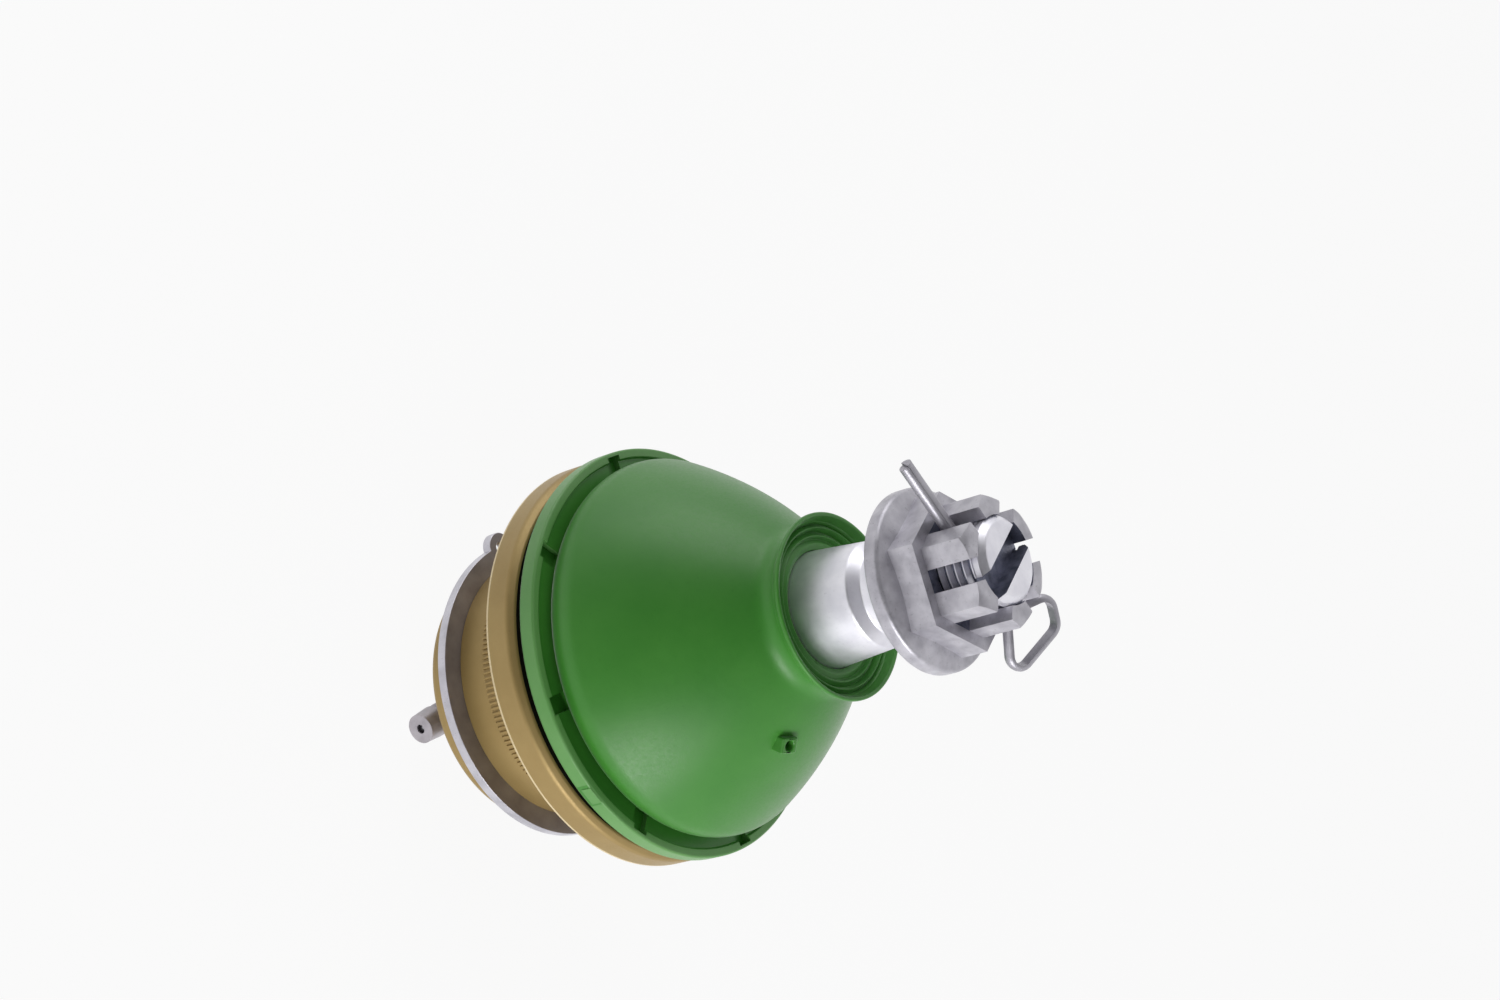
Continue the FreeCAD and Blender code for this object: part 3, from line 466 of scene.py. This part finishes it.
# A paler, glossier steel: painted highlight on the snap ring's rim and rounded edges.
rim_highlight_steel = finish_material(
    "rim_highlight_steel",
    srgb(206, 204, 212),
    srgb(184, 182, 190),
    metallic=0.75,
    rough=0.34,
    bump=4e-6,
    clouds=240,
    grains=3000,
    specks=0.1,
)
ease_edges(snap_piece, 0.0004, rim_highlight_steel)
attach(snap_piece, "housing")
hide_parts("snap_ring")


# Ball, bearings and preload spring, hidden inside the housing: a ball in a moulded acetal liner,
# two sintered shells and a coned spring washer that presses the lower shell up.
spring_steel = finish_material(
    "dark_phosphate",
    srgb(120, 113, 100),
    srgb(96, 90, 80),
    metallic=0.6,
    rough=0.42,
    bump=4e-6,
    clouds=150,
    grains=4000,
    specks=0.2,
)
dress(("belleville_spring",), spring_steel)
sintered = finish_material(
    "sintered_iron",
    srgb(120, 120, 124),
    srgb(92, 92, 96),
    metallic=0.7,
    rough=0.55,
    bump=1e-5,
    clouds=200,
    grains=2200,
    specks=0.4,
)
dress(("upper_bearing", "lower_bearing"), sintered)
acetal = finish_material(
    "acetal",
    srgb(228, 224, 208),
    srgb(216, 211, 194),
    metallic=0.0,
    rough=0.45,
    bump=2e-6,
    clouds=80,
    grains=3000,
)
dress(("ball_liner",), acetal)


# Ball stud: forged and turned steel with a bright satin taper, a plain relief and a rolled
# M14 x 1.5 thread whose end has a slot for a driver and a hole across it for the cotter pin.
# The slot and the roots of the thread are a darker blue-grey steel: cut steel's own tone with painted
# shade.
def bow(start, end, radius, count):
    """Points between the ends of an arc in an outline. A positive radius bows to the right of the way."""
    start = Vector(start[:2])
    end = Vector(end[:2])
    run = end - start
    right = Vector((run.y, -run.x)).normalized()
    rise = math.sqrt(radius**2 - run.length_squared / 4)
    centre = (start + end) / 2 - right * math.copysign(rise, radius)
    sweep = 2 * math.asin(run.length / 2 / radius)
    turns = [Matrix.Rotation(sweep * step / count, 2) for step in range(1, count)]
    return [tuple(centre + rotation @ (start - centre)) for rotation in turns]


ball_radius = 13.0
ball_flat = 11.6
neck_radius = 7.5
neck_top = 20
collar_bottom = 28.5
taper_bottom = (10.3, 37.0)
taper_top = (8.6, 57.4)
thread_radius = 7.0
relief_bottom = 58.9
relief_top = 66.5
stud_end = 82.2
satin = finish_material(
    "satin_shank",
    srgb(242, 241, 248),
    srgb(224, 223, 232),
    metallic=0.7,
    rough=0.4,
    bump=7e-6,
    clouds=200,
    grains=3200,
    turning=6000,
    specks=0.12,
)
ball_start = (math.sqrt(ball_radius**2 - ball_flat**2), -ball_flat)
ball_side = (ball_radius, 0)
ball_end = (neck_radius, math.sqrt(ball_radius**2 - neck_radius**2))
shank = lathe(
    [
        (0, -ball_flat),
        ball_start,
        *bow(ball_start, ball_side, ball_radius, 10),
        ball_side,
        *bow(ball_side, ball_end, ball_radius, 16),
        ball_end,
        (neck_radius, neck_top),
        (taper_bottom[0], collar_bottom, 1),
        (*taper_bottom, 1),
        (*taper_top, 0.3),
        (thread_radius, relief_bottom, 0.2),
        (thread_radius, relief_top),
        (0, relief_top),
    ]
)
shank_piece = keep_piece("stud_shank", shank, satin)
even_shading(shank_piece)
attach(shank_piece, "stud")
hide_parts("ball_stud")


def loose_object(mesh):
    """A plain object for a boolean, which uses up the mesh."""
    data = bpy.data.meshes.new("loose")
    mesh.to_mesh(data)
    mesh.free()
    loose = bpy.data.objects.new("loose", data)
    scene.collection.objects.link(loose)
    return loose


def carve(mesh, tool, operation="DIFFERENCE"):
    """Cut a mesh with another, or join or intersect them. Both are used up, and a new one comes back."""
    block = loose_object(mesh)
    cutter = loose_object(tool)
    cut = block.modifiers.new("cut", "BOOLEAN")
    cut.solver = "EXACT"
    cut.operation = operation
    cut.object = cutter
    result = bmesh.new()
    result.from_object(block, bpy.context.evaluated_depsgraph_get())
    for spent in (block, cutter):
        bpy.data.meshes.remove(spent.data)
    return result


def bar(length, width, height, centre):
    """A straight block in millimetres, lying along X."""
    block = bmesh.new()
    bmesh.ops.create_cube(block, size=1)
    bmesh.ops.scale(block, vec=(length, width, height), verts=block.verts)
    bmesh.ops.translate(block, vec=centre, verts=block.verts)
    return block


def rod(radius, low, high, sides):
    """A round or many-sided rod in millimetres, standing on the Z axis."""
    stock = bmesh.new()
    bmesh.ops.create_cone(
        stock, cap_ends=True, segments=sides, radius1=radius, radius2=radius, depth=high - low
    )
    bmesh.ops.translate(stock, vec=(0, 0, (low + high) / 2), verts=stock.verts)
    return stock


def turn_mesh(mesh, degrees, axis="Z"):
    """Turn a mesh about an axis through the origin."""
    bmesh.ops.rotate(mesh, matrix=Matrix.Rotation(math.radians(degrees), 3, axis), verts=mesh.verts)


pitch = 1.5
thread_depth = 0.92
thread_turns = 13
turn_steps = 64
root = thread_radius - thread_depth
thread_form = [
    (root, 0),
    (root, pitch / 5),
    (thread_radius, pitch * 7 / 16),
    (thread_radius, pitch * 9 / 16),
    (root, pitch * 4 / 5),
    (root, pitch),
]
thread = bmesh.new()
points = [thread.verts.new((reach, 0, height + relief_top - pitch)) for reach, height in thread_form]
for first, second in zip(points, points[1:]):
    thread.edges.new((first, second))
bmesh.ops.spin(
    thread,
    geom=thread.verts[:] + thread.edges[:],
    axis=(0, 0, 1),
    dvec=(0, 0, pitch / turn_steps),
    angle=math.tau * thread_turns,
    steps=turn_steps * thread_turns,
)
bmesh.ops.remove_doubles(thread, verts=thread.verts, dist=1e-4)
for height, side in ((relief_top, -1), (stud_end, 1)):
    cut = bmesh.ops.bisect_plane(
        thread,
        geom=thread.verts[:] + thread.edges[:] + thread.faces[:],
        dist=1e-5,
        plane_co=(0, 0, height),
        plane_no=(0, 0, side),
        clear_outer=True,
    )
    open_edges = [item for item in cut["geom_cut"] if isinstance(item, bmesh.types.BMEdge)]
    bmesh.ops.holes_fill(thread, edges=open_edges, sides=0)
bmesh.ops.recalc_face_normals(thread, faces=thread.faces)
clear_radius = 7.2
clear_bottom = 60
thread_end = stud_end - 1.5
envelope = [(0, clear_bottom), (clear_radius, clear_bottom), (clear_radius, thread_end), (0, thread_end)]
thread = carve(thread, lathe(envelope, 96), "INTERSECT")
tip_radius = 6.9
tip_face = 5.9
tip_bottom = stud_end - 2.2
tip_shoulder = stud_end - 1.1
plain_tip = [
    (0, tip_bottom),
    (tip_radius, tip_bottom, 0.2),
    (tip_radius, tip_shoulder),
    (tip_face, stud_end, 0.25),
    (0, stud_end),
]
thread = carve(thread, lathe(plain_tip, 96), "UNION")
slot_width = 4.6
slot_depth = 2.9
thread = carve(thread, bar(20, slot_width, 2 * slot_depth, (0, 0, stud_end)))
pin_height = 75.9
pin_hole = 1.4
drill = rod(pin_hole, -10, 10, 32)
turn_mesh(drill, 90, "X")
bmesh.ops.translate(drill, vec=(0, 0, pin_height), verts=drill.verts)
thread = carve(thread, drill)
slot_floor = stud_end - slot_depth
# Faces in the driver slot and at the thread's roots take the darker cut steel, which paints shade into
# them.
for face in thread.faces:
    middle = face.calc_center_median()
    in_slot = abs(middle.y) < slot_width / 2 + 0.01 and slot_floor - 0.01 < middle.z < stud_end - 0.02
    in_root = abs(face.normal.z) < 0.5 and middle.xy.length < root + 0.05
    face.material_index = int(in_slot or in_root)
# A darker blue-grey steel: cut steel's tone with painted shade, for the slots, the thread roots and the
# nut's bore.
cut_steel_and_shade = finish_material(
    "cut_steel_painted_shade",
    srgb(136, 139, 160),
    srgb(84, 87, 104),
    metallic=0.5,
    rough=0.42,
    bump=1.4e-5,
    clouds=500,
    grains=2600,
    specks=0.4,
)
stud_turn = 21.5
turn_mesh(thread, stud_turn)
thread_piece = keep_piece("stud_thread", thread, satin, sharp=25)
thread_piece.data.materials.append(cut_steel_and_shade)
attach(thread_piece, "stud")
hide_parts("ball_stud")


# Castle nut: a hot-forged flange nut with a dull zinc plate. Six slots leave six teeth on its crown, whose
# outer corners are rounded off, and every edge is tumbled. Its bore and the floors of its slots are bare
# cut steel, darkened with painted shade.
def hexagon_bar(width, low, high):
    """A hexagonal bar in millimetres, with two corners on the X axis."""
    stock = rod(width / math.sqrt(3), low, high, 6)
    turn_mesh(stock, 30)
    return stock


nut_bottom = 65.7
nut_width = 22.0
nut_flange = 14.6
nut_flange_rim = 68.2
nut_cone_top = (10.9, 69.3)
shoulder = 73.5
crown_width = 18.2
crown_top = 81.5
crown_foot = (11, 79.3)
crown_edge = (9.0, crown_top)
crown_rounding = 2.8
crown_slot = 3.6
nut_bore = 7.05
countersink = 0.8
nut_zinc = finish_material(
    "dull_zinc",
    srgb(206, 204, 212),
    srgb(174, 172, 181),
    metallic=0.45,
    rough=0.38,
    bump=1.8e-5,
    clouds=300,
    grains=2400,
    specks=0.3,
)
nut = hexagon_bar(nut_width, nut_bottom + 0.2, shoulder)
flange_outline = [
    (0, nut_bottom),
    (nut_flange, nut_bottom, 0.3),
    (nut_flange, nut_flange_rim, 0.6),
    nut_cone_top,
    (0, nut_cone_top[1]),
]
nut = carve(nut, lathe(flange_outline, 128), "UNION")
crown_outline = [
    (0, 72),
    (crown_foot[0], 72),
    crown_foot,
    *bow(crown_foot, crown_edge, crown_rounding, 8),
    crown_edge,
    (0, crown_top),
]
crown = carve(hexagon_bar(crown_width, shoulder - 1, crown_top), lathe(crown_outline, 128), "INTERSECT")
nut = carve(nut, crown, "UNION")
for degrees in (30, 90, 150):
    slot = bar(30, crown_slot, 12, (0, 0, shoulder + 6))
    turn_mesh(slot, degrees)
    nut = carve(nut, slot)
bore_outline = [
    (0, 64),
    (nut_bore + countersink, 64),
    (nut_bore + countersink, nut_bottom),
    (nut_bore, nut_bottom + countersink),
    (nut_bore, 83),
    (0, 83),
]
nut = carve(nut, lathe(bore_outline, 96))
# The bore and the slot floors take the darker cut steel, which paints shade into them.
cut_and_shade_slot = 2
for face in nut.faces:
    middle = face.calc_center_median()
    reach = middle.xy.length
    in_bore = abs(face.normal.z) < 0.5 and reach < nut_bore + 0.1
    on_floor = face.normal.z > 0.9 and abs(middle.z - shoulder) < 0.05 and reach < crown_width / 2 + 0.1
    face.material_index = cut_and_shade_slot if in_bore or on_floor else 0
turn_mesh(nut, stud_turn)
nut_piece = keep_piece("castle_nut_forged", nut, nut_zinc)
worn_edges = finish_material(
    "worn_edges",
    srgb(214, 212, 220),
    srgb(196, 194, 202),
    metallic=0.6,
    rough=0.32,
    bump=6e-6,
    clouds=300,
    grains=2400,
    specks=0.2,
)
ease_edges(nut_piece, 0.00025, worn_edges)
nut_piece.data.materials.append(cut_steel_and_shade)
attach(nut_piece, "stud")
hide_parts("castle_nut")


# Cotter pin: half-round zinc-plated wire, folded into an eye and pushed through slot and stud.
# Its shape is the solid's own.
pin_zinc = finish_material(
    "pin_zinc",
    srgb(184, 182, 190),
    srgb(160, 158, 166),
    metallic=0.5,
    rough=0.4,
    bump=8e-6,
    clouds=260,
    grains=2600,
    specks=0.3,
)
dress(("cotter_pin",), pin_zinc)


# Dust boot: moulded green rubber with a satin bloom. It has a clamped rim with a notched ledge, a dome, and
# a waisted neck whose lip steps down to the shank. It is made in two pieces that meet in the dome.
rubber = finish_material(
    "green_rubber",
    srgb(69, 144, 50),
    srgb(59, 136, 42),
    metallic=0.0,
    rough=0.42,
    bump=6e-6,
    clouds=60,
    grains=2200,
    specks=0.14,
)
bloom = rubber.node_tree.nodes["Principled BSDF"]
bloom.inputs["Sheen Weight"].default_value = 0.4
bloom.inputs["Sheen Roughness"].default_value = 0.3
dome_foot = (30.8, 21.0)
neck_foot = (14.3, 43.2)
inner_dome_foot = (29.25, 20.08)
inner_neck_foot = (13.04, 41.94)
dome_bulge = 80
dome_wall = 1.8
dome_steps = 48
seam_step = 19
dome = [dome_foot, *bow(dome_foot, neck_foot, dome_bulge, dome_steps), neck_foot]
inner_arc = bow(inner_neck_foot, inner_dome_foot, dome_wall - dome_bulge, dome_steps)
inner_dome = [inner_neck_foot, *inner_arc, inner_dome_foot]
rim_radius = 34.2
rim_bottom = 12.5
rim_top = 15.4
rim_flap = 31.05
ledge = 32.65
groove_foot = (29.2, 14.8)
inner_groove = (28.15, 16.25)
base_ring_seat = 27.25
base_ring_bottom = 13.45
lower_outline = [
    (rim_flap, rim_bottom, 0.3),
    (rim_radius, rim_bottom, 0.35),
    (rim_radius, rim_top, 0.4),
    (ledge, rim_top, 0.25),
    (ledge, groove_foot[1], 0.2),
    groove_foot,
    *bow(groove_foot, dome_foot, 4.6, 12),
    *dome[: seam_step + 1],
    *inner_dome[dome_steps - seam_step :],
    *bow(inner_dome_foot, inner_groove, -2.8, 8),
    inner_groove,
    (base_ring_seat, inner_groove[1]),
    (base_ring_seat, base_ring_bottom),
    (rim_flap, base_ring_bottom),
]
lower = lathe(lower_outline, 256)
notch_floor = 13.8
notch_reach = 33.55
notch_step = 31.5
notch_width = 2.96
notch_count = 8
above_rim = 17
boot_turn = 40.2
notch_corners = (
    (groove_foot[0], notch_floor),
    (notch_reach, notch_floor),
    (notch_reach, above_rim),
    (notch_step, above_rim),
    (notch_step, groove_foot[1]),
    groove_foot,
)
pockets = bmesh.new()
cheek = pockets.faces.new(
    [pockets.verts.new((reach, -notch_width / 2, height)) for reach, height in notch_corners]
)
grown = bmesh.ops.extrude_face_region(pockets, geom=[cheek])
far_cheek = [item for item in grown["geom"] if isinstance(item, bmesh.types.BMVert)]
bmesh.ops.translate(pockets, vec=(0, notch_width, 0), verts=far_cheek)
bmesh.ops.recalc_face_normals(pockets, faces=pockets.faces)
turn_mesh(pockets, boot_turn)
bmesh.ops.spin(
    pockets,
    geom=pockets.verts[:] + pockets.edges[:] + pockets.faces[:],
    axis=(0, 0, 1),
    angle=math.tau * (1 - 1 / notch_count),
    steps=notch_count - 1,
    use_duplicate=True,
)
lower = carve(lower, pockets)
gate_mark = bar(0.5, 3.2, 2.0, (rim_radius - 0.15, 0, rim_top - 1.1))
bmesh.ops.bevel(
    gate_mark, geom=gate_mark.edges[:], offset=0.12, affect="EDGES", segments=2, profile=0.5, material=-1
)
gate_turn = 202
turn_mesh(gate_mark, gate_turn)
lower = carve(lower, gate_mark, "UNION")
# Faces of the rim and ledge, beyond this radius and above the notches' floor, take a paler green: painted
# light.
lit_rim_radius = 31.45
for face in lower.faces:
    middle = face.calc_center_median()
    face.material_index = int(middle.xy.length > lit_rim_radius and middle.z > notch_floor)
# A paler copy of the green rubber, painted light for the rim.
painted_light_rubber = finish_material(
    "green_rubber_painted_light",
    srgb(108, 166, 92),
    srgb(96, 158, 80),
    metallic=0.0,
    rough=0.4,
    bump=6e-6,
    clouds=60,
    grains=2200,
    specks=0.1,
)
lower_boot = keep_piece("boot_lower", lower, rubber)
lower_boot.data.materials.append(painted_light_rubber)
even_shading(lower_boot)
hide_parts("dust_boot")
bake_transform(lower_boot)

lip = (15.2, 48.8)
lip_steps = [
    (lip[0], 49.3, 0.25),
    (14.6, 49.3, 0.2),
    (13.7, 47.0, 0.2),
    (13.0, 48.0, 0.3),
    (12.5, 46.6, 0.15),
    (11.7, 47.6, 0.3),
    (11.3, 46.65, 0.1),
    (10.5, 47.2, 0.25),
    (9.58, 46.8, 0.1),
]
lip_bore = 9.63
neck_ring_seat = 11.88
neck_ring_bottom = 42.55
neck_ring_top = 46.25
upper_outline = [
    *dome[seam_step:],
    *bow(neck_foot, lip, -3.5, 12),
    lip,
    *lip_steps,
    (lip_bore, neck_ring_top),
    (neck_ring_seat, neck_ring_top),
    (neck_ring_seat, neck_ring_bottom),
    *inner_dome[: dome_steps - seam_step + 1],
]
upper = lathe(upper_outline, 256)
upper_boot = keep_piece("boot_upper", upper, rubber)
even_shading(upper_boot)
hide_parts("dust_boot")
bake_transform(upper_boot)

# Vent of the boot: a small moulded block with a blind hole. It stands more upright than square to
# the dome, as in the photograph.
vent_hole = 0.85
vent_twist = 105
vent_lean = 28
vent_place = (19.7, 0, 36.7)
vent_turn = 236.5
vent = carve(bar(3.3, 2.6, 3.0, (0, 0, 0.7)), rod(vent_hole, -0.1, 3.5, 24))
turn_mesh(vent, vent_twist)
turn_mesh(vent, vent_lean, "Y")
bmesh.ops.translate(vent, vec=vent_place, verts=vent.verts)
turn_mesh(vent, vent_turn)
vent_piece = keep_piece("boot_vent", vent, rubber)
ease_edges(vent_piece, 0.0003)
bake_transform(vent_piece)


# Boot rings: pressed steel, moulded into the rubber. One sleeve grips the housing's collar and one
# ring stiffens the neck against the shank.
pressed = finish_material(
    "pressed_steel",
    srgb(160, 160, 166),
    srgb(134, 134, 140),
    metallic=0.8,
    rough=0.45,
    bump=8e-6,
    clouds=200,
    grains=2600,
    specks=0.2,
)
dress(("boot_base_ring", "boot_neck_ring"), pressed)

# Floor: a plain white sheet under the lowest point of the part, which is the grease fitting. Its
# edges are out of the photograph's view, and the camera sees it almost as bright as the world.
floor_gap = 0.0002
seen_brightness = 0.92
floor_mesh = bmesh.new()
bmesh.ops.create_grid(floor_mesh, x_segments=1, y_segments=1, size=3.0)
floor_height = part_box("fitting_body")[0].z - floor_gap
bmesh.ops.translate(floor_mesh, verts=floor_mesh.verts, vec=(0, 0, floor_height))
floor_data = bpy.data.meshes.new("floor")
floor_mesh.to_mesh(floor_data)
floor_mesh.free()
floor = bpy.data.objects.new("floor", floor_data)
scene.collection.objects.link(floor)
paper = bpy.data.materials.new("white_sheet")
paper.use_nodes = True
sheet = paper.node_tree
diffuse = sheet.nodes["Principled BSDF"]
diffuse.inputs["Base Color"].default_value = (0.9, 0.9, 0.9, 1)
diffuse.inputs["Roughness"].default_value = 0.9
glow = add_node(sheet, "ShaderNodeEmission", {"Color": (1, 1, 1, 1), "Strength": 1.0})
ray = add_node(sheet, "ShaderNodeLightPath")
pictured = add_node(
    sheet, "ShaderNodeMath", {0: ray.outputs["Is Camera Ray"], 1: seen_brightness}, operation="MULTIPLY"
)
seen = add_node(
    sheet,
    "ShaderNodeMath",
    {0: pictured.outputs["Value"], 1: ray.outputs["Is Glossy Ray"]},
    operation="MAXIMUM",
)
blend_floor = add_node(sheet, "ShaderNodeMixShader", {"Fac": seen.outputs["Value"]})
sheet.links.new(diffuse.outputs["BSDF"], blend_floor.inputs[1])
sheet.links.new(glow.outputs["Emission"], blend_floor.inputs[2])
sheet.links.new(blend_floor.outputs["Shader"], sheet.nodes["Material Output"].inputs["Surface"])
floor_data.materials.append(paper)

# World: a soft even light and a plain white surround. The camera sees the surround, and so does
# whatever is glossy, with a dim patch on the camera's side as in a light tent.
soft_light = 0.26
world = bpy.data.worlds.new("light_tent")
scene.world = world
world.use_nodes = True
sky = world.node_tree
ray = add_node(sky, "ShaderNodeLightPath")
look = add_node(sky, "ShaderNodeTexCoord").outputs["Generated"]
near_side = add_node(sky, "ShaderNodeVectorMath", {0: look, 1: camera_back}, operation="DOT_PRODUCT")
tent = add_node(
    sky,
    "ShaderNodeMapRange",
    {"Value": near_side.outputs["Value"], "From Min": 0.1, "From Max": 0.75, "To Min": 1.0, "To Max": 0.1},
    interpolation_type="SMOOTHSTEP",
)
soft = add_node(sky, "ShaderNodeMix", {"Factor": ray.outputs["Is Glossy Ray"], "A": soft_light})
sky.links.new(tent.outputs["Result"], soft.inputs["B"])
level = add_node(sky, "ShaderNodeMix", {"Factor": ray.outputs["Is Camera Ray"], "B": 1.0})
sky.links.new(soft.outputs["Result"], level.inputs["A"])
sky.links.new(level.outputs["Result"], sky.nodes["Background"].inputs["Strength"])
sky.nodes["Background"].inputs["Color"].default_value = (1, 1, 1, 1)


# Lamps: two soft boxes, placed by the picture's own axes. The stronger one is low in front of the
# part, a little to the left, and the weaker one is above it.
def soft_box(name, right, up, back, power, size=0.35):
    """A square lamp that faces the part. Its place and size are in metres and its power in watts."""
    data = bpy.data.lights.new(name, "AREA")
    data.shape = "SQUARE"
    data.size = size
    data.energy = power
    lamp = bpy.data.objects.new(name, data)
    scene.collection.objects.link(lamp)
    centre = Vector((0, 0, 0.025))
    spot = centre + camera_right * right + camera_up * up + camera_back * back
    facing = (centre - spot).to_track_quat("-Z", "Y")
    lamp.matrix_world = Matrix.Translation(spot) @ facing.to_matrix().to_4x4()


soft_box("low_box", right=-0.08, up=-0.45, back=0.28, power=2.6)
soft_box("high_box", right=0.05, up=0.5, back=0.05, power=0.7)
